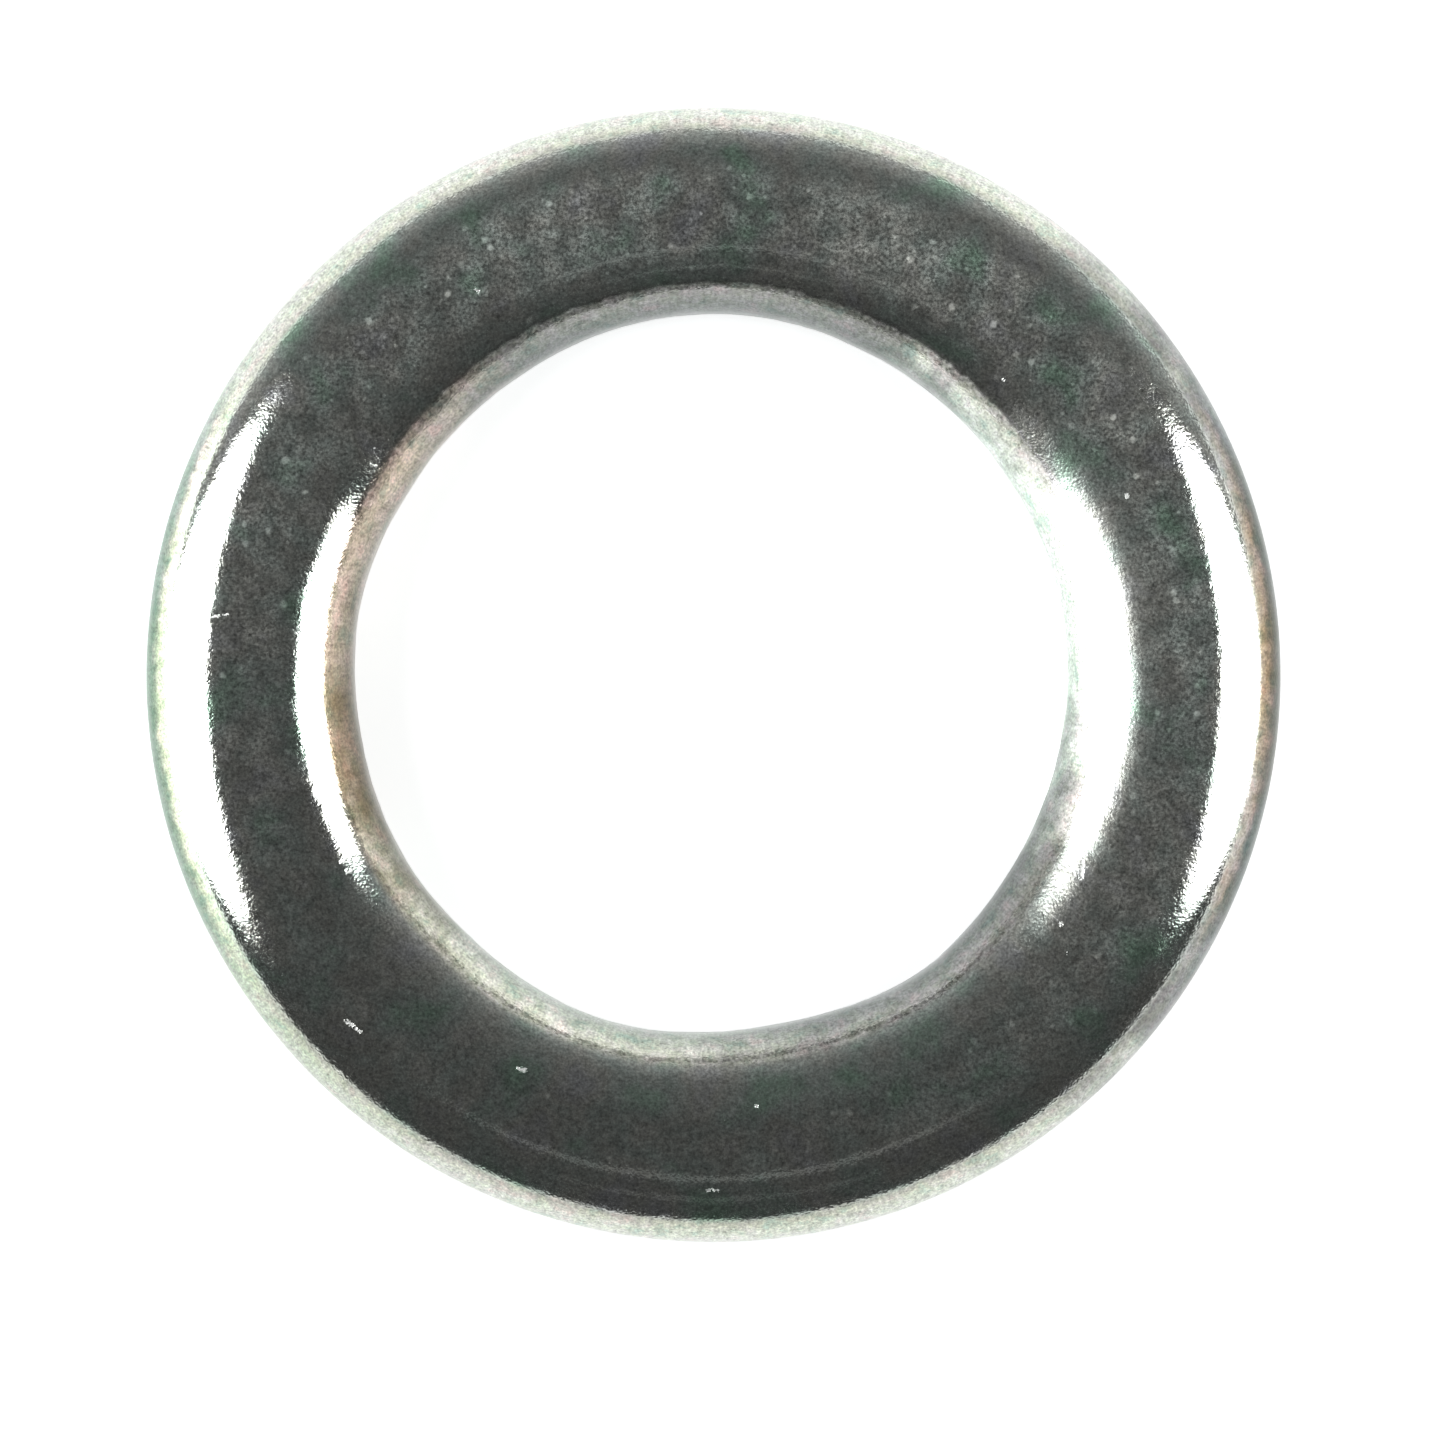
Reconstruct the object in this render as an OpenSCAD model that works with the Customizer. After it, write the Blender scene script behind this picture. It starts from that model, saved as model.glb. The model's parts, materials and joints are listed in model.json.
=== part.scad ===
// Flat washer for a 14 mm thread, stamped from sheet and plated.
// It lies flat with its axis on Z: the seat face is at Z = 0 and the bearing face looks up.
// Both rims are rolled over towards the bearing face, as the punch and die leave them.

/* [Ring] */
// Outside diameter
outside_d = 24; // [23.8:0.1:25]
// Diameter of the hole at its smooth wall
bore_d = 15.2; // [14.8:0.1:15.4]
// Thickness from the seat face to the bearing face
thickness = 2.5; // [2.3:0.1:2.7]

/* [Rolled rims] */
// Width of each rolled rim, from the flat land to the wall
roll_w = 2; // [1.9:0.1:2]
// Height of each rolled rim, from the flat land down to the wall
roll_h = 1.8; // [1.7:0.1:1.8]
// Radius of the tighter arc, where a rolled rim turns down into its wall
shoulder_r = 1.6; // [1.2:0.1:1.6]

/* [Cut walls] */
// Height of the torn, tapered zone below each smooth wall
tear_h = 0.3; // [0.2:0.1:0.4]
// How far the torn zone has drawn back from the wall at the seat face
tear_set = 0.12; // [0.05:0.01:0.2]

/* [Hidden] */
$fn = 180;
outer_r = outside_d / 2;
bore_r = bore_d / 2;
shoulder_z = thickness - roll_h;
// The wide arc that runs from the flat land and meets the shoulder arc tangentially
crown_r = (roll_w ^ 2 + roll_h ^ 2 - 2 * roll_w * shoulder_r) / (2 * (roll_h - shoulder_r));
crown_sweep = atan2(roll_w - shoulder_r, crown_r - roll_h);
shoulder_mid = [shoulder_r, shoulder_z];
crown_mid = [roll_w, thickness - crown_r];
// One side of the blank before its rim is rolled: in from the wall, up from the seat face
side_points = [
    [tear_set, 0],
    [0, tear_h],
    [0, thickness]
];

// The corner outside an arc, between two directions less than half a turn apart
module corner(mid, r, from, to) {
    reach = 2 * r;
    half = (from + to) / 2;
    translate(mid)
        difference() {
            polygon([
                [0, 0],
                reach * [cos(from), sin(from)],
                reach * [cos(half), sin(half)],
                reach * [cos(to), sin(to)]
            ]);
            circle(r = r);
        }
}

// What rolling takes off one rim, with its wall at X = 0 and the metal towards +X
module rolled_off() {
    corner(crown_mid, crown_r, 90, 90 + crown_sweep);
    corner(shoulder_mid, shoulder_r, 90 + crown_sweep, 180);
}

// The ring's cross-section, with the hole's side on the left
module section() {
    hole_side = [for (p = side_points) [bore_r + p.x, p.y]];
    outer_side = [for (i = [len(side_points) - 1:-1:0]) [outer_r - side_points[i].x, side_points[i].y]];
    difference() {
        polygon(concat(hole_side, outer_side));
        translate([bore_r, 0])
            rolled_off();
        translate([outer_r, 0])
            mirror([1, 0])
                rolled_off();
    }
}

// The whole washer: one piece of plated steel
module washer() {
    color([0.62, 0.64, 0.64])
        rotate_extrude()
            section();
}

washer();
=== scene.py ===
"""Looks for a flat washer: stamped steel with rolled rims, brightly plated, lying on a pale table."""

import json
import logging
import math
import random
from dataclasses import dataclass
from enum import Enum
from typing import Any, Union

import bmesh
import bpy
from mathutils import Matrix, Quaternion, Vector, noise
from mathutils.kdtree import KDTree


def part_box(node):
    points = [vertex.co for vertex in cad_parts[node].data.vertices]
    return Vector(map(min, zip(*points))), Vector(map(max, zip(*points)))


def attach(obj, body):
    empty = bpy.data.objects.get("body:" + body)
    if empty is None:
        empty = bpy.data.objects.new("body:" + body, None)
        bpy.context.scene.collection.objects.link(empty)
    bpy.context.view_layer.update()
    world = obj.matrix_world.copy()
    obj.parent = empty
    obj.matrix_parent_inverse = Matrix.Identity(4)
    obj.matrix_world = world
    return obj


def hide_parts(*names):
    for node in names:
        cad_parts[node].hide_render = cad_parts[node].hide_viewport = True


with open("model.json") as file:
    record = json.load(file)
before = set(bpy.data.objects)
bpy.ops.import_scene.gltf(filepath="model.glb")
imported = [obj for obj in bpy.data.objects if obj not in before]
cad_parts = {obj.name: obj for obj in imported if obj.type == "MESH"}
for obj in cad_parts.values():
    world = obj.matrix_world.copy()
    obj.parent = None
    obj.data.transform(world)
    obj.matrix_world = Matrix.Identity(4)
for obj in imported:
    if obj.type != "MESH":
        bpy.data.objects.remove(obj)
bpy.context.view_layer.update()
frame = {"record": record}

MM = 0.001
QUARTER = math.pi / 2
WHOLE_TURN = 2 * math.pi
log = logging.getLogger("washer")


# ---------------------------------------------------------------------------------------------
# Shader wiring
# ---------------------------------------------------------------------------------------------


class Value:
    """A number socket that can be used in ordinary Python arithmetic."""

    def __init__(self, wiring: "Wiring", socket: bpy.types.NodeSocket) -> None:
        """Wraps one output socket.

        Args:
            wiring: The node tree that new Math nodes are added to.
            socket: The output socket that carries the number.
        """
        self.wiring = wiring
        self.socket = socket

    def _math(self, operation: str, *others: Union["Value", float], flipped: bool = False) -> "Value":
        """Adds one Math node.

        Args:
            operation: The Math node's operation.
            others: The further operands, as values or plain numbers.
            flipped: Whether this value comes after the first of the others.

        Returns:
            The node's result.
        """
        operands = [self, *others]
        if flipped:
            operands[0], operands[1] = operands[1], operands[0]
        return self.wiring.value("ShaderNodeMath", {"operation": operation}, dict(enumerate(operands)))

    def __add__(self, other: Union["Value", float]) -> "Value":
        """The sum."""
        return self._math("ADD", other)

    def __radd__(self, other: float) -> "Value":
        """The sum, with a plain number first."""
        return self._math("ADD", other, flipped=True)

    def __sub__(self, other: Union["Value", float]) -> "Value":
        """The difference."""
        return self._math("SUBTRACT", other)

    def __rsub__(self, other: float) -> "Value":
        """The difference, with a plain number first."""
        return self._math("SUBTRACT", other, flipped=True)

    def __mul__(self, other: Union["Value", float]) -> "Value":
        """The product."""
        return self._math("MULTIPLY", other)

    def __rmul__(self, other: float) -> "Value":
        """The product, with a plain number first."""
        return self._math("MULTIPLY", other, flipped=True)

    def __truediv__(self, other: Union["Value", float]) -> "Value":
        """The quotient."""
        return self._math("DIVIDE", other)

    def __rtruediv__(self, other: float) -> "Value":
        """The quotient, with a plain number first."""
        return self._math("DIVIDE", other, flipped=True)

    def __pow__(self, other: Union["Value", float]) -> "Value":
        """The power."""
        return self._math("POWER", other)

    def at_least(self, floor: Union["Value", float]) -> "Value":
        """The larger of this value and another."""
        return self._math("MAXIMUM", floor)

    def at_most(self, ceiling: Union["Value", float]) -> "Value":
        """The smaller of this value and another."""
        return self._math("MINIMUM", ceiling)

    def size(self) -> "Value":
        """The value without its sign."""
        return self._math("ABSOLUTE")

    def fraction(self) -> "Value":
        """What is left after the whole turns are taken off."""
        return self._math("FRACT")

    def angle_over(self, x: "Value") -> "Value":
        """The angle, in radians, of the point that has this value as y and another as x."""
        return self._math("ARCTAN2", x)

    def ramp(self, start: float, end: float) -> "Value":
        """A soft step from this value.

        Args:
            start: Where the step is still 0.
            end: Where the step reaches 1; it may lie below start.

        Returns:
            A value from 0 to 1 with smooth ends.
        """
        low, high = min(start, end), max(start, end)
        step = self.wiring.value(
            "ShaderNodeMapRange",
            {"interpolation_type": "SMOOTHSTEP"},
            {"Value": self, "From Min": low, "From Max": high},
        )
        return step if end > start else 1.0 - step


Source = Union[Value, bpy.types.NodeSocket, float, tuple, int]


class Wiring:
    """A node tree with short ways to add and join its nodes."""

    def __init__(self, tree: bpy.types.NodeTree) -> None:
        """Empties the tree.

        Args:
            tree: The material's or world's node tree.
        """
        self.tree = tree
        tree.nodes.clear()

    def node(self, kind: str, settings: dict[str, Any] | None = None,
             sockets: dict[Any, Source] | None = None) -> bpy.types.Node:
        """Adds any node.

        Args:
            kind: The node's type.
            settings: Its properties, set first; "stops" holds a colour ramp's positions and colours.
            sockets: A value or a link for each input, by name or number.

        Returns:
            The new node.
        """
        node = self.tree.nodes.new(kind)
        for name, setting in (settings or {}).items():
            if name == "stops":
                self._set_stops(node.color_ramp, setting)
            else:
                setattr(node, name, setting)
        for key, source in (sockets or {}).items():
            self.feed(node.inputs[key], source)
        return node

    def value(self, kind: str, settings: dict[str, Any] | None = None,
              sockets: dict[Any, Source] | None = None, output: str | int = 0) -> Value:
        """Adds any node and takes one of its outputs as a number.

        Args:
            kind: The node's type.
            settings: Its properties.
            sockets: A value or a link for each input.
            output: The output's name or number.

        Returns:
            The output, ready for arithmetic.
        """
        return Value(self, self.node(kind, settings, sockets).outputs[output])

    def blend(self, amount: Source, first: Source, second: Source,
              mode: str = "MIX") -> bpy.types.NodeSocket:
        """Mixes two colours.

        Args:
            amount: How much of the second colour, from 0 to 1.
            first: The colour at 0.
            second: The colour at 1.
            mode: The Mix node's blend type.

        Returns:
            The mixed colour.
        """
        settings = {"data_type": "RGBA", "blend_type": mode}
        return self.node("ShaderNodeMix", settings, {0: amount, 6: first, 7: second}).outputs[2]

    def ramp_colour(self, at: Source, stops: list | tuple) -> bpy.types.NodeSocket:
        """Looks a number up in a row of colours.

        Args:
            at: The number, from 0 to 1.
            stops: Each stop's position and colour, in order.

        Returns:
            The colour.
        """
        return self.node("ShaderNodeValToRGB", {"stops": stops}, {0: at}).outputs[0]

    def feed(self, socket: bpy.types.NodeSocket, source: Source) -> None:
        """Links a source to an input, or sets the input to a constant.

        Args:
            socket: The input.
            source: A value, an output socket or a constant.
        """
        if isinstance(source, Value):
            source = source.socket
        if isinstance(source, bpy.types.NodeSocket):
            self.tree.links.new(source, socket)
        else:
            socket.default_value = source

    @staticmethod
    def _set_stops(ramp: bpy.types.ColorRamp, stops: list[tuple[float, tuple]]) -> None:
        """Gives a colour ramp its stops.

        Args:
            ramp: The ramp, fresh from its node.
            stops: Each stop's position and colour, in order.
        """
        while len(ramp.elements) < len(stops):
            ramp.elements.new(1.0)
        for element, (position, colour) in zip(ramp.elements, stops):
            element.position = position
            element.color = colour


class Place:
    """Where a point of the washer lies, read from its own Object coordinates, in millimetres."""

    def __init__(self, wiring: Wiring) -> None:
        """Adds the nodes that give the position.

        Args:
            wiring: The material's wiring.
        """
        self.wiring = wiring
        metres = wiring.node("ShaderNodeTexCoord").outputs["Object"]
        scaled = wiring.node(
            "ShaderNodeVectorMath", {"operation": "SCALE"}, {0: metres, "Scale": 1 / MM})
        self.position = scaled.outputs[0]
        split = wiring.node("ShaderNodeSeparateXYZ", None, {0: self.position})
        self.x, self.y, self.z = (Value(wiring, split.outputs[i]) for i in range(3))
        self.radius = (self.x * self.x + self.y * self.y) ** 0.5
        self.toward_x = self.x / self.radius
        self.toward_y = self.y / self.radius
        self.turn = self.y.angle_over(self.x) / WHOLE_TURN

    def joined(self, x: Source, y: Source, z: Source) -> bpy.types.NodeSocket:
        """A vector made of three numbers."""
        return self.wiring.node("ShaderNodeCombineXYZ", None, {0: x, 1: y, 2: z}).outputs[0]

    def grain(self, cell: float, detail: float = 2.0, at: bpy.types.NodeSocket | None = None,
              roughness: float = 0.5) -> Value:
        """Smooth noise.

        Args:
            cell: The size of one blob, in millimetres.
            detail: How many finer layers lie on it.
            at: Where it is read, or the plain position.
            roughness: How strong the finer layers are.

        Returns:
            The noise, from 0 to 1 and mostly near a half.
        """
        sockets = {"Vector": at or self.position, "Scale": 1 / cell, "Detail": detail, "Roughness": roughness}
        return self.wiring.value("ShaderNodeTexNoise", {"noise_dimensions": "3D"}, sockets)

    def specks(self, cell: float, width: float, share: float) -> Value:
        """Small separate dots, each in a cell of its own.

        Args:
            cell: The mean distance between cells, in millimetres.
            width: A dot's radius as a part of its cell.
            share: The part of the cells that has a dot.

        Returns:
            1 at the middle of a dot, 0 away from the dots.
        """
        sockets = {"Vector": self.position, "Scale": 1 / cell}
        cells = self.wiring.node("ShaderNodeTexVoronoi", None, sockets)
        picked = self.wiring.node("ShaderNodeSeparateColor", None, {0: cells.outputs["Color"]}).outputs[0]
        away = Value(self.wiring, cells.outputs["Distance"]) + (self.grain(0.25 * cell, 2.0) - 0.5) * width
        return away.ramp(width, 0.3 * width) * Value(self.wiring, picked).ramp(1 - share, 1 - 0.8 * share)


# ---------------------------------------------------------------------------------------------
# Finishes
# ---------------------------------------------------------------------------------------------


@dataclass(frozen=True)
class Nick:
    """A short bright scratch in the bearing face. Angles are in degrees, the rest in millimetres."""

    azimuth: float
    radius: float
    heading: float
    length: float
    width: float = 0.035

    @property
    def middle(self) -> Vector:
        """The scratch's middle, seen from above."""
        turn = math.radians(self.azimuth)
        return self.radius * Vector((math.cos(turn), math.sin(turn)))

    def mask(self, place: Place, ragged: Value) -> Value:
        """Where the scratch shows bare metal.

        Args:
            place: The position nodes.
            ragged: Noise about 0, in millimetres, that frays the scratch's outline.

        Returns:
            1 in the scratch, 0 away from it.
        """
        along_x, along_y = math.cos(math.radians(self.heading)), math.sin(math.radians(self.heading))
        away_x = place.x - self.middle.x
        away_y = place.y - self.middle.y
        along = (away_x * along_x + away_y * along_y).at_least(-self.length / 2).at_most(self.length / 2)
        off_x = away_x - along * along_x
        off_y = away_y - along * along_y
        return ((off_x * off_x + off_y * off_y) ** 0.5 + ragged).ramp(1.3 * self.width, 0.5 * self.width)


def scattered_nicks(count: int, seed: int, near: float, far: float) -> tuple[Nick, ...]:
    """Scatters scratches over the bearing face, most of them very short.

    Args:
        count: How many there are.
        seed: Fixes the draw.
        near: The least distance from the axis.
        far: The greatest distance from the axis.

    Returns:
        The scratches.
    """
    draw = random.Random(seed)
    return tuple(
        Nick(draw.uniform(0, 360), draw.uniform(near, far), draw.uniform(0, 180),
             0.03 + 0.4 * draw.random() ** 3, width=draw.uniform(0.02, 0.05))
        for _ in range(count))


NICKS = scattered_nicks(14, 5, near=8.6, far=11.1)


class TintAndShade(Enum):
    """The plating's interference tints mixed with painted reflection and shade, from pale to dark; the palest
    stop is a painted highlight, the darkest stops are painted shade.
    """

    PALE = (1.20, 1.20, 1.15, 1.0)
    STRAW = (0.70, 0.70, 0.65, 1.0)
    SILVER = (0.60, 0.60, 0.55, 1.0)
    ROSE = (0.55, 0.45, 0.40, 1.0)
    GREEN = (0.45, 0.55, 0.40, 1.0)
    SMOKE = (0.25, 0.25, 0.25, 1.0)
    BRONZE = (0.20, 0.15, 0.10, 1.0)


@dataclass(frozen=True)
class PlatedSteel:
    """Bright plating over stamped steel: dark and hazy on the face; at the rims, interference tints mixed with
    painted reflection and shade that change around the ring and from the wall inwards.
    """

    outer_r: float
    bore_r: float
    reflectance: tuple = (0.665, 0.70, 0.68, 1.0)
    bare: tuple = (0.93, 0.95, 0.93, 1.0)
    mirror_roughness: float = 0.10
    wall_roughness: float = 0.22
    torn_roughness: float = 0.48
    rim_reach: tuple[float, float] = (0.70, 0.50)
    wall_reach: tuple[float, float] = (0.50, 0.36)
    haze_from_hole: tuple[float, float] = (8.15, 9.5)
    haze_to_outside: tuple[float, float] = (11.0, 10.2)
    rub_start: tuple[float, float] = (0.34, 0.44)
    rub_end: tuple[float, float] = (0.60, 0.51)
    flank_reach: tuple[float, float] = (0.80, 0.97)
    haze_depth: float = 0.28
    rub_depth: float = 0.36
    # Painted reflection and shade with the plating's tints, by azimuth around the outer rim: dark at the right,
    # pale straw at the top, green at the left.
    outer_tint_and_shade: tuple = (
        (0, TintAndShade.BRONZE),
        (30, TintAndShade.SMOKE),
        (60, TintAndShade.STRAW),
        (150, TintAndShade.STRAW),
        (180, TintAndShade.GREEN),
        (240, TintAndShade.SILVER),
        (300, TintAndShade.SILVER),
        (330, TintAndShade.SMOKE),
        (360, TintAndShade.BRONZE),
    )
    # Painted reflection and shade with the plating's tints, by azimuth around the hole's rim: a painted
    # highlight at the right, darker elsewhere.
    hole_tint_and_shade: tuple = (
        (0, TintAndShade.PALE),
        (30, TintAndShade.PALE),
        (60, TintAndShade.SMOKE),
        (120, TintAndShade.SMOKE),
        (150, TintAndShade.ROSE),
        (195, TintAndShade.BRONZE),
        (240, TintAndShade.SILVER),
        (300, TintAndShade.SMOKE),
        (330, TintAndShade.SMOKE),
        (360, TintAndShade.PALE),
    )
    # Painted shade on the outer rim at the top and bottom, darker away from the wall.
    outer_depth_shade: tuple = (
        (0.00, (0.80, 0.84, 0.85, 1)),
        (0.30, (0.82, 0.87, 0.86, 1)),
        (0.42, (0.78, 0.80, 0.78, 1)),
        (0.55, (0.60, 0.62, 0.60, 1)),
    )
    # Painted shade and highlight on the outer rim at the left and right: dark at the wall, lighter further in.
    flank_depth_light_and_shade: tuple = (
        (0.07, (0.33, 0.47, 0.46, 1)),
        (0.19, (0.39, 0.51, 0.51, 1)),
        (0.28, (0.62, 0.66, 0.68, 1)),
        (0.38, (1.20, 1.15, 1.12, 1)),
        (0.50, (1.45, 1.50, 1.50, 1)),
    )
    # Painted shade and highlight on the hole's rim: dark at the wall, lighter further in.
    hole_depth_light_and_shade: tuple = (
        (0.00, (0.58, 0.66, 0.65, 1)),
        (0.20, (0.81, 0.87, 0.85, 1)),
        (0.40, (1.12, 1.14, 1.11, 1)),
        (0.60, (1.70, 1.75, 1.70, 1)),
    )
    rim_patches: tuple = (
        (0.32, (0.76, 0.88, 0.83, 1)),
        (0.44, (1.02, 1.02, 0.94, 1)),
        (0.56, (1.06, 1.03, 1.04, 1)),
        (0.68, (1.20, 1.04, 1.06, 1)),
    )
    face_patches: tuple = (
        (0.30, (0.74, 1.00, 0.82, 1)),
        (0.44, (0.94, 1.00, 0.96, 1)),
        (0.58, (1.02, 0.99, 0.94, 1)),
        (0.72, (0.98, 0.96, 1.00, 1)),
    )

    def material(self) -> bpy.types.Material:
        """Wires the finish.

        Returns:
            The material.
        """
        made = bpy.data.materials.new("bright_plated_steel")
        made.use_nodes = True
        wiring = Wiring(made.node_tree)
        place = Place(wiring)
        torn = wiring.value("ShaderNodeAttribute", {"attribute_name": Mark.TORN.value}, output="Fac")
        edge = wiring.value("ShaderNodeAttribute", {"attribute_name": Mark.EDGE.value}, output="Fac")
        rim = edge.ramp(*self.rim_reach)
        wall = edge.ramp(*self.wall_reach)
        ragged = (place.grain(0.045, 2.0) - 0.5) * 0.10
        broken = place.grain(0.07, 1.0).ramp(0.36, 0.50)
        scar = sum((nick.mask(place, ragged) for nick in NICKS), 0.0).at_most(1.0) * broken
        haze = self._haze(place)
        rub = self._rub(place, edge)
        shader = wiring.node("ShaderNodeBsdfPrincipled")
        wiring.feed(shader.inputs["Base Color"], self._colour(wiring, place, edge, rim, torn, scar))
        metallic = (1.0 - haze * self.haze_depth - rub * self.rub_depth).at_least(0.0)
        wiring.feed(shader.inputs["Metallic"], metallic)
        wiring.feed(shader.inputs["Roughness"], self._roughness(place, wall, torn, scar))
        wiring.feed(shader.inputs["Normal"], self._relief(place, wall, torn, scar))
        wiring.node("ShaderNodeOutputMaterial", None, {"Surface": shader.outputs[0]})
        return made

    def _haze(self, place: Place) -> Value:
        """Where the plating is clouded: mostly on the flat face, more at the top and the right.

        Args:
            place: The position nodes.

        Returns:
            0 where it is clear, about 1 where it is thickest.
        """
        spread = (0.42 + place.toward_y * 0.36 + place.toward_x * 0.10).at_least(0.10)
        lap = place.radius.ramp(*self.haze_from_hole) * place.radius.ramp(*self.haze_to_outside)
        cloud = place.grain(0.60, 4.0, roughness=0.62).ramp(0.34, 0.68)
        drift = place.grain(4.5, 1.0).ramp(0.30, 0.65)
        crumb = place.grain(0.065, 2.0, roughness=0.7).ramp(0.34, 0.66)
        dust = place.specks(0.42, 0.24, 0.40) + place.specks(0.22, 0.26, 0.25) * 0.5
        veil = lap * (0.36 + cloud * 0.62) * (0.7 + drift * 0.5) * (0.30 + crumb * 1.4)
        return spread * (veil + (0.15 + lap) * dust * 1.8)

    def _rub(self, place: Place, edge: Value) -> Value:
        """Where the hole's rim is rubbed cloudy, in a narrow line with a wavy border.

        Args:
            place: The position nodes.
            edge: The distance from the nearer wall, in millimetres.

        Returns:
            0 where it isn't rubbed, about 1 where it is.
        """
        wavy = edge + (place.grain(0.35, 2.0) - 0.5) * 0.16
        patchy = place.grain(0.12, 3.0) * 2
        line = wavy.ramp(*self.rub_start) * wavy.ramp(*self.rub_end)
        return line * place.radius.ramp(9.0, 8.8) * patchy

    def _colour(self, wiring: Wiring, place: Place, edge: Value, rim: Value, torn: Value,
                scar: Value) -> Source:
        """The plating's reflectance, with interference tints and painted reflection and shade on the rims.

        Args:
            wiring: The material's wiring.
            place: The position nodes.
            edge: The distance from the nearer wall, in millimetres.
            rim: 1 on the walls and on the steep part of the rolled rims.
            torn: 1 on the torn zones.
            scar: 1 in the nicks.

        Returns:
            The colour socket.
        """
        # Painted reflection and shade: each rim goes lighter or darker with the side of the ring it faces,
        # mixed with the plating's tints.
        wander = (place.grain(1.3, 2.0) - 0.5) * 0.16
        phase = (place.turn + wander + 1.0).fraction()
        outer, hole = (
            wiring.ramp_colour(phase, [(azimuth / 360, tint_and_shade.value) for azimuth, tint_and_shade in film_and_shade])
            for film_and_shade in (self.outer_tint_and_shade, self.hole_tint_and_shade)
        )
        middle_r = (self.outer_r + self.bore_r) / 2
        outside = place.radius.ramp(middle_r - 0.1, middle_r + 0.1)
        around = wiring.blend(outside, hole, outer)
        # Painted shade and highlight on the rims, changing with the distance from the wall; strongest on the
        # left and right flanks.
        depth = edge + (place.grain(0.5, 2.0) - 0.5) * 0.3
        flank = place.toward_x.size().ramp(*self.flank_reach)
        outer_rim_light_and_shade = wiring.blend(
            flank, wiring.ramp_colour(depth, self.outer_depth_shade), wiring.ramp_colour(depth, self.flank_depth_light_and_shade))
        rim_light_and_shade = wiring.blend(outside, wiring.ramp_colour(depth, self.hole_depth_light_and_shade), outer_rim_light_and_shade)
        blotches = wiring.ramp_colour(place.grain(0.50, 4.0, roughness=0.65), self.rim_patches)
        patched = wiring.blend(1.0, around, blotches, "MULTIPLY")
        film_and_shade = wiring.blend(1.0, patched, rim_light_and_shade, "MULTIPLY")
        patches = wiring.ramp_colour(place.grain(1.3, 3.0), self.face_patches)
        plate = wiring.blend(1.0, self.reflectance, patches, "MULTIPLY")
        tinted = wiring.blend(rim, plate, film_and_shade)
        grain = (place.grain(0.06, 2.0, roughness=0.7) - 0.5) * 1.8 + (place.grain(0.17, 1.0) - 0.5) * 0.6
        shade = (1.0 + grain + self._streaks(place) * rim * 0.7 - torn * 0.3).at_least(0.15)
        grained = wiring.blend(1.0, tinted, place.joined(shade, shade, shade), "MULTIPLY")
        return wiring.blend(scar, grained, self.bare)

    def _roughness(self, place: Place, wall: Value, torn: Value, scar: Value) -> Value:
        """How far the finish scatters what it reflects.

        Args:
            place: The position nodes.
            wall: 1 on the walls.
            torn: 1 on the torn zones.
            scar: 1 in the nicks.

        Returns:
            The roughness.
        """
        fine = (place.grain(0.06, 1.0) - 0.5) * 0.08
        smear = place.grain(0.9, 3.0).ramp(0.48, 0.72) * 0.04
        rubbed = place.toward_x.ramp(0.55, 0.95) * place.radius.ramp(10.2, 8.9) * 0.14
        plated = self.mirror_roughness + wall * (self.wall_roughness - self.mirror_roughness)
        rough = plated + torn * (self.torn_roughness - self.wall_roughness)
        return (rough + fine + smear + rubbed + scar * 0.45).at_least(0.05).at_most(0.9)

    def _relief(self, place: Place, wall: Value, torn: Value, scar: Value) -> bpy.types.NodeSocket:
        """The fine relief that is too small for the mesh.

        Args:
            place: The position nodes.
            wall: 1 on the walls.
            torn: 1 on the torn zones.
            scar: 1 in the nicks.

        Returns:
            The normal.
        """
        peel = place.grain(0.30, 2.0) * 0.005
        fine = place.grain(0.06, 1.0) * 0.0032
        scoring = self._streaks(place) * 0.0015 * wall
        crumble = place.grain(0.12, 3.0, roughness=0.7) * 0.02 * torn
        height = peel + fine + scoring + crumble - scar * 0.006
        sockets = {"Strength": 1.0, "Distance": MM, "Height": height}
        return place.wiring.node("ShaderNodeBump", None, sockets).outputs[0]

    @staticmethod
    def _streaks(place: Place) -> Value:
        """Fine scoring that runs up the walls, about 0."""
        around = place.joined(place.toward_x, place.toward_y, place.z * 0.02)
        return place.grain(0.007, 2.0, at=around) - 0.5


@dataclass(frozen=True)
class PaleTable:
    """Matt white card, faintly lit from below."""

    colour: tuple = (0.86, 0.87, 0.87, 1.0)
    glow: float = 0.70

    def material(self) -> bpy.types.Material:
        """Wires the finish.

        Returns:
            The material.
        """
        made = bpy.data.materials.new("pale_table")
        made.use_nodes = True
        wiring = Wiring(made.node_tree)
        place = Place(wiring)
        fibre = place.grain(4.0, 3.0) * 0.02 + 0.99
        tone = wiring.blend(1.0, self.colour, place.joined(fibre, fibre, fibre), "MULTIPLY")
        shader = wiring.node(
            "ShaderNodeBsdfPrincipled",
            None,
            {"Base Color": tone, "Roughness": 0.9, "Emission Color": self.colour,
             "Emission Strength": self.glow},
        )
        wiring.node("ShaderNodeOutputMaterial", None, {"Surface": shader.outputs[0]})
        return made


# ---------------------------------------------------------------------------------------------
# The washer
# ---------------------------------------------------------------------------------------------


class Mark(Enum):
    """The surface zones that the mesh carries as attributes."""

    TORN = "torn"
    EDGE = "edge"


@dataclass(frozen=True)
class Roll:
    """How a rim is rolled: a wide crown arc by the face, a tighter shoulder arc by the wall. In millimetres."""

    width: float
    height: float
    shoulder_r: float

    @property
    def crown_r(self) -> float:
        """The crown arc's radius, so that it leaves the face and meets the shoulder smoothly."""
        spare = self.width ** 2 + self.height ** 2 - 2 * self.width * self.shoulder_r
        return spare / (2 * (self.height - self.shoulder_r))

    @property
    def crown_sweep(self) -> float:
        """How far the crown arc turns, in radians."""
        return math.atan2(self.width - self.shoulder_r, self.crown_r - self.height)


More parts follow.
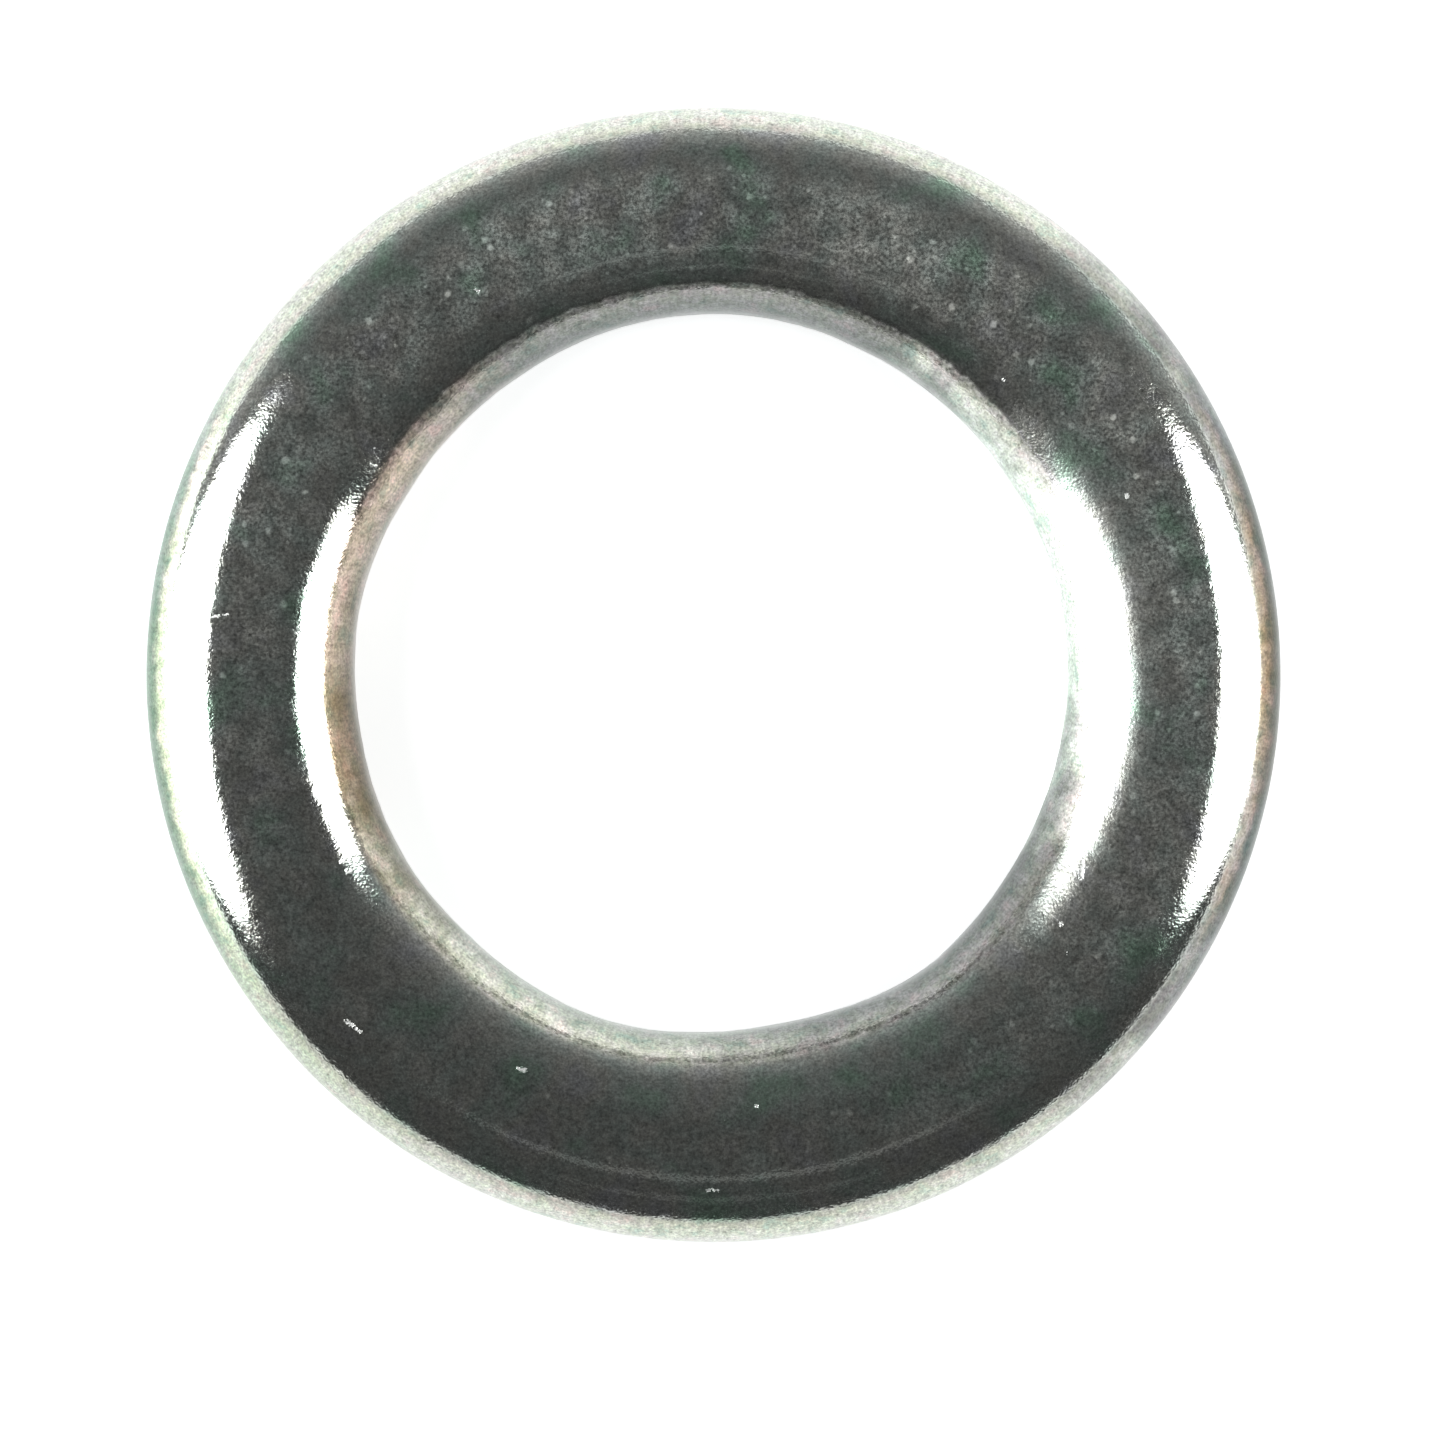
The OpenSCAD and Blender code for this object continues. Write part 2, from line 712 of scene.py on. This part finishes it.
@dataclass
class SectionPen:
    """Draws the ring's cross-section in the XZ plane, point after point."""

    bm: bmesh.types.BMesh
    tip: bmesh.types.BMVert | None = None

    def start(self, x: float, z: float) -> None:
        """Puts the pen down.

        Args:
            x: Distance from the axis.
            z: Height above the seat face.
        """
        self.tip = bmesh.ops.create_vert(self.bm, co=(x, 0.0, z))["vert"][0]

    def line(self, x: float, z: float, steps: int) -> None:
        """Draws a straight stretch to a point.

        Args:
            x: The point's distance from the axis.
            z: Its height.
            steps: How many edges the stretch has.
        """
        hop = (Vector((x, 0.0, z)) - self.tip.co) / steps
        for _ in range(steps):
            made = bmesh.ops.extrude_vert_indiv(self.bm, verts=[self.tip])
            self.tip = made["verts"][0]
            bmesh.ops.translate(self.bm, verts=[self.tip], vec=hop)

    def arc(self, x: float, z: float, angle: float, steps: int) -> None:
        """Draws an arc about a centre, anticlockwise as seen with Z up and X to the right.

        Args:
            x: The centre's distance from the axis.
            z: Its height.
            angle: How far the arc turns, in radians.
            steps: How many edges the arc has.
        """
        made = bmesh.ops.spin(
            self.bm, geom=[self.tip], cent=(x, 0.0, z), axis=(0.0, -1.0, 0.0), dvec=(0.0, 0.0, 0.0),
            angle=angle, steps=steps, use_merge=False, use_duplicate=False)
        self.tip = next(part for part in made["geom_last"] if isinstance(part, bmesh.types.BMVert))


@dataclass(frozen=True)
class Dent:
    """A shallow knock in the bearing face. Sizes are in millimetres."""

    middle: Vector
    width: float
    depth: float

    def press(self, bm: bmesh.types.BMesh, finder: KDTree, top: float) -> None:
        """Pushes the points near the dent down.

        Args:
            bm: The ring.
            finder: Finds the ring's points by place.
            top: The bearing face's height.
        """
        for _, index, away in finder.find_range((self.middle.x, self.middle.y, top), 2.5 * self.width):
            bm.verts[index].co.z -= self.depth * math.exp(-(away / self.width) ** 2)


@dataclass
class WasherRing:
    """The one piece: a ring whose rims are rolled towards its bearing face. Sizes are in millimetres."""

    outer_r: float
    bore_r: float
    thickness: float
    outer_roll: Roll = Roll(2.0, 1.8, 1.6)
    hole_roll: Roll = Roll(2.0, 1.9, 1.88)
    tear_h: float = 0.3
    tear_set: float = 0.12
    edge_break: float = 0.04
    segments: int = 720
    doublings: int = 4
    hole_wobble: float = 0.15
    wobble_scale: float = 1.7
    rim_scale: float = 6.5
    face_cell: float = 1.3
    tear_cell: float = 0.22
    rim_wave: float = 0.035
    face_wave: float = 0.004
    tear_rough: float = 0.05
    dent_count: int = 90
    dent_clear: float = 0.9
    dent_widths: tuple[float, float] = (0.10, 0.20)
    dent_depths: tuple[float, float] = (0.0006, 0.003)
    nick_width: float = 0.14
    nick_depth: float = 0.004
    seed: int = 14

    @classmethod
    def from_frame(cls, node: str, bore: str) -> "WasherRing":
        """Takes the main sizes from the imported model.

        Args:
            node: The CAD node that the ring stands for.
            bore: The name of the record's bore mount.

        Returns:
            A ring of the CAD model's size.
        """
        _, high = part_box(node)
        mounts = {mount["name"]: mount for mount in frame["record"]["mounts"]}
        return cls(high.x / MM, mounts[bore]["dims"]["r_mm"], high.z / MM)

    def build(self) -> bpy.types.Object:
        """Makes the finished ring.

        Returns:
            The object, with its place in its mesh.
        """
        bm = bmesh.new()
        self._draw_section(bm)
        self._turn(bm)
        self._mark_zones(bm)
        self._wear(bm)
        self._knock(bm)
        bmesh.ops.scale(bm, vec=(MM, MM, MM), verts=bm.verts)
        mesh = bpy.data.meshes.new("washer_ring")
        for face in bm.faces:
            face.smooth = True
        bm.to_mesh(mesh)
        bm.free()
        ring = bpy.data.objects.new("washer_ring", mesh)
        bpy.context.scene.collection.objects.link(ring)
        return ring

    def _draw_section(self, bm: bmesh.types.BMesh) -> None:
        """Draws the closed cross-section, from the hole's seat edge outwards and back over the top.

        Args:
            bm: The empty mesh.
        """
        outer, inner = self.outer_roll, self.hole_roll
        hole, rim, top = self.bore_r, self.outer_r, self.thickness
        pen = SectionPen(bm)
        pen.start(hole + self.tear_set + self.edge_break, 0.0)
        first = pen.tip
        pen.line(rim - self.tear_set - self.edge_break, 0.0, 14)
        pen.line(rim - self.tear_set, self.edge_break, 2)
        pen.line(rim, self.tear_h, 5)
        pen.line(rim, top - outer.height, 4)
        pen.arc(rim - outer.shoulder_r, top - outer.height, QUARTER - outer.crown_sweep, 11)
        pen.arc(rim - outer.width, top - outer.crown_r, outer.crown_sweep, 22)
        pen.line(hole + inner.width, top, 4)
        pen.arc(hole + inner.width, top - inner.crown_r, inner.crown_sweep, 16)
        pen.arc(hole + inner.shoulder_r, top - inner.height, QUARTER - inner.crown_sweep, 17)
        pen.line(hole, self.tear_h, 4)
        pen.line(hole + self.tear_set, self.edge_break, 5)
        pen.line(first.co.x, first.co.z, 2)
        bmesh.ops.remove_doubles(bm, verts=bm.verts, dist=1e-4)

    def _turn(self, bm: bmesh.types.BMesh) -> None:
        """Spins the section into a sector, doubles it to a closed ring, and turns its faces outwards.

        Args:
            bm: The mesh that holds the section.
        """
        sector = WHOLE_TURN / 2 ** self.doublings
        bmesh.ops.spin(
            bm, geom=bm.verts[:] + bm.edges[:], cent=(0.0, 0.0, 0.0), axis=(0.0, 0.0, 1.0),
            dvec=(0.0, 0.0, 0.0), angle=sector, steps=self.segments // 2 ** self.doublings,
            use_merge=False, use_duplicate=False)
        for _ in range(self.doublings):
            copied = bmesh.ops.duplicate(bm, geom=bm.verts[:] + bm.edges[:] + bm.faces[:])["geom"]
            moved = [part for part in copied if isinstance(part, bmesh.types.BMVert)]
            bmesh.ops.rotate(bm, verts=moved, cent=(0.0, 0.0, 0.0), matrix=Matrix.Rotation(sector, 3, "Z"))
            sector *= 2
        bmesh.ops.remove_doubles(bm, verts=bm.verts, dist=1e-4)
        bmesh.ops.recalc_face_normals(bm, faces=bm.faces)
        bm.normal_update()

    def _wear(self, bm: bmesh.types.BMesh) -> None:
        """Puts the hole a little out of round, and adds faint waves and ragged torn zones.

        Args:
            bm: The plain ring.
        """
        middle_r = (self.outer_r + self.bore_r) / 2
        for vert in bm.verts:
            point = vert.co.copy()
            radius = math.hypot(point.x, point.y)
            out = Vector((point.x / radius, point.y / radius, 0.0))
            near_hole = max(0.0, (middle_r - radius) / (middle_r - self.bore_r))
            vert.co += out * (self.hole_wobble * noise.noise(out * self.wobble_scale) * near_hole ** 4)
            lift = self.face_wave * noise.noise(point / self.face_cell)
            lift += self.rim_wave * near_hole ** 2 * noise.noise(out * self.rim_scale)
            vert.co += vert.normal * (lift * min(1.0, point.z))
            tear_top = self.tear_h * (1.15 + 0.5 * noise.noise(out * 9))
            if 0.0 < point.z < tear_top:
                bite = 0.5 + 0.5 * noise.fractal(point / self.tear_cell, 0.8, 2.1, 3)
                side = 1.0 if radius < middle_r else -1.0
                vert.co += out * (side * self.tear_rough * max(0.0, bite) * (1 - point.z / tear_top))

    def _knock(self, bm: bmesh.types.BMesh) -> None:
        """Dents the bearing face, as tumbling and handling do.

        Args:
            bm: The stamped ring.
        """
        draw = random.Random(self.seed)
        finder = KDTree(len(bm.verts))
        bm.verts.ensure_lookup_table()
        for index, vert in enumerate(bm.verts):
            finder.insert(vert.co, index)
        finder.balance()
        for _ in range(self.dent_count):
            turn = draw.uniform(0, WHOLE_TURN)
            radius = draw.uniform(self.bore_r + self.dent_clear, self.outer_r - self.dent_clear)
            middle = radius * Vector((math.cos(turn), math.sin(turn)))
            dent = Dent(middle, draw.uniform(*self.dent_widths), draw.uniform(*self.dent_depths))
            dent.press(bm, finder, self.thickness)
        for nick in NICKS:
            Dent(nick.middle, self.nick_width, self.nick_depth).press(bm, finder, self.thickness)

    def _mark_zones(self, bm: bmesh.types.BMesh) -> None:
        """Writes each point's distance from the nearer wall, and which points belong to a torn zone.

        Args:
            bm: The plain ring.
        """
        torn_layer = bm.verts.layers.float.new(Mark.TORN.value)
        edge_layer = bm.verts.layers.float.new(Mark.EDGE.value)
        middle_r = (self.outer_r + self.bore_r) / 2
        for vert in bm.verts:
            radius = math.hypot(vert.co.x, vert.co.y)
            edge = self.outer_r - radius if radius > middle_r else radius - self.bore_r
            vert[edge_layer] = edge
            vert[torn_layer] = 1.0 if 0.0 < vert.co.z < self.tear_h and edge < 0.5 else 0.0

    def dress(self, ring: bpy.types.Object) -> None:
        """Gives the ring its plating.

        Args:
            ring: The finished mesh object.
        """
        finish = PlatedSteel(self.outer_r, self.bore_r)
        ring.data.materials.append(finish.material())


# ---------------------------------------------------------------------------------------------
# The studio
# ---------------------------------------------------------------------------------------------


@dataclass
class SoftLamp:
    """An oval soft lamp, upright beside the washer. Sizes are in millimetres, angles in degrees."""

    name: str
    azimuth: float
    reach: float
    height: float
    width: float
    tall: float
    lean: float
    radiance: float

    def build(self) -> bpy.types.Object:
        """Makes the lamp.

        Returns:
            The lamp.
        """
        data = bpy.data.lights.new(self.name, "AREA")
        data.shape = "ELLIPSE"
        data.size = self.width * MM
        data.size_y = self.tall * MM
        data.energy = self.radiance * math.pi * math.pi * data.size * data.size_y / 4
        lamp = bpy.data.objects.new(self.name, data)
        turn = math.radians(self.azimuth)
        away = Vector((math.cos(turn), math.sin(turn), 0.0))
        lamp.location = (away * self.reach + Vector((0.0, 0.0, self.height))) * MM
        upright = away.to_track_quat("Z", "Y")
        lamp.rotation_euler = (upright @ Quaternion((0.0, 0.0, 1.0), math.radians(self.lean))).to_euler()
        lamp.visible_camera = False
        bpy.context.scene.collection.objects.link(lamp)
        return lamp


@dataclass
class Studio:
    """The table, the lamps, the dim room and the camera. Sizes are in millimetres."""

    outside_d: float
    table_side: float = 1600.0
    table_drop: float = 0.02
    camera_height: float = 90.0
    sensor: float = 36.0
    fill: float = 0.7868
    rim_height: float = 0.7
    aside: float = 0.0045
    above: float = 0.0313

    def build(self) -> None:
        """Makes everything that isn't part of the washer."""
        self._table()
        self._room()
        self._camera()
        for lamp in (
            SoftLamp("lamp_right", azimuth=0.8, reach=70.0, height=40.5, width=68.0, tall=85.0, lean=-20.0,
                     radiance=5.5),
            SoftLamp("lamp_left", azimuth=179.2, reach=70.0, height=42.0, width=69.0, tall=94.0, lean=26.0,
                     radiance=5.5),
        ):
            lamp.build()
            log.info("lamp %s", lamp.name)
        bpy.context.scene.view_settings.view_transform = "Standard"

    def _table(self) -> None:
        """Lays the pale table just under the seat face."""
        bm = bmesh.new()
        bmesh.ops.create_grid(bm, x_segments=2, y_segments=2, size=self.table_side / 2 * MM)
        bmesh.ops.translate(bm, verts=bm.verts, vec=(0.0, 0.0, -self.table_drop * MM))
        mesh = bpy.data.meshes.new("table")
        bm.to_mesh(mesh)
        bm.free()
        table = bpy.data.objects.new("table", mesh)
        bpy.context.scene.collection.objects.link(table)
        mesh.materials.append(PaleTable().material())

    def _room(self) -> None:
        """Wires the room: dim overhead, pale low down at the back, dark at the front."""
        world = bpy.data.worlds.new("room")
        bpy.context.scene.world = world
        world.use_nodes = True
        wiring = Wiring(world.node_tree)
        way = wiring.node("ShaderNodeTexCoord").outputs["Generated"]
        split = wiring.node("ShaderNodeSeparateXYZ", None, {0: way})
        x, y, z = (Value(wiring, split.outputs[i]) for i in range(3))
        low = 1.0 - z.at_least(0.0)
        back = y.ramp(0.05, 0.6) * (0.04 + low * low * low * 0.38)
        slots = (z - 0.515).size().ramp(0.02, 0.008) * 0.11 + (z - 0.84).size().ramp(0.03, 0.01) * 0.12
        front = x.size().ramp(0.32, 0.18) * y.ramp(-0.2, -0.4)
        level = 0.066 + back + front * slots
        seen = wiring.value("ShaderNodeLightPath", output="Is Camera Ray")
        brightness = level * (1.0 - seen) + seen * 0.9
        sockets = {"Color": (1.0, 1.0, 1.0, 1.0), "Strength": brightness}
        shine = wiring.node("ShaderNodeBackground", None, sockets)
        wiring.node("ShaderNodeOutputWorld", None, {"Surface": shine.outputs[0]})

    def _camera(self) -> None:
        """Hangs the camera on the washer's axis, looking straight down at the bearing face."""
        data = bpy.data.cameras.new("camera")
        data.sensor_width = self.sensor
        frame_w = self.outside_d / self.fill
        data.lens = self.sensor * (self.camera_height - self.rim_height) / frame_w
        data.shift_x = self.aside
        data.shift_y = -self.above
        data.clip_start = 10 * MM
        data.clip_end = 2000 * MM
        camera = bpy.data.objects.new("camera", data)
        camera.location = (0.0, 0.0, self.camera_height * MM)
        bpy.context.scene.collection.objects.link(camera)
        bpy.context.scene.camera = camera


def main() -> None:
    """Builds the studio and the washer, and reports each piece."""
    logging.basicConfig(level=logging.INFO, format="%(message)s")
    ring = WasherRing.from_frame("washer", "bore")
    Studio(2 * ring.outer_r).build()
    piece = ring.build()
    ring.dress(piece)
    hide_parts("washer")
    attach(piece, "root")
    log.info("piece %s: %d faces", piece.name, len(piece.data.polygons))


if __name__ == "__main__":
    main()
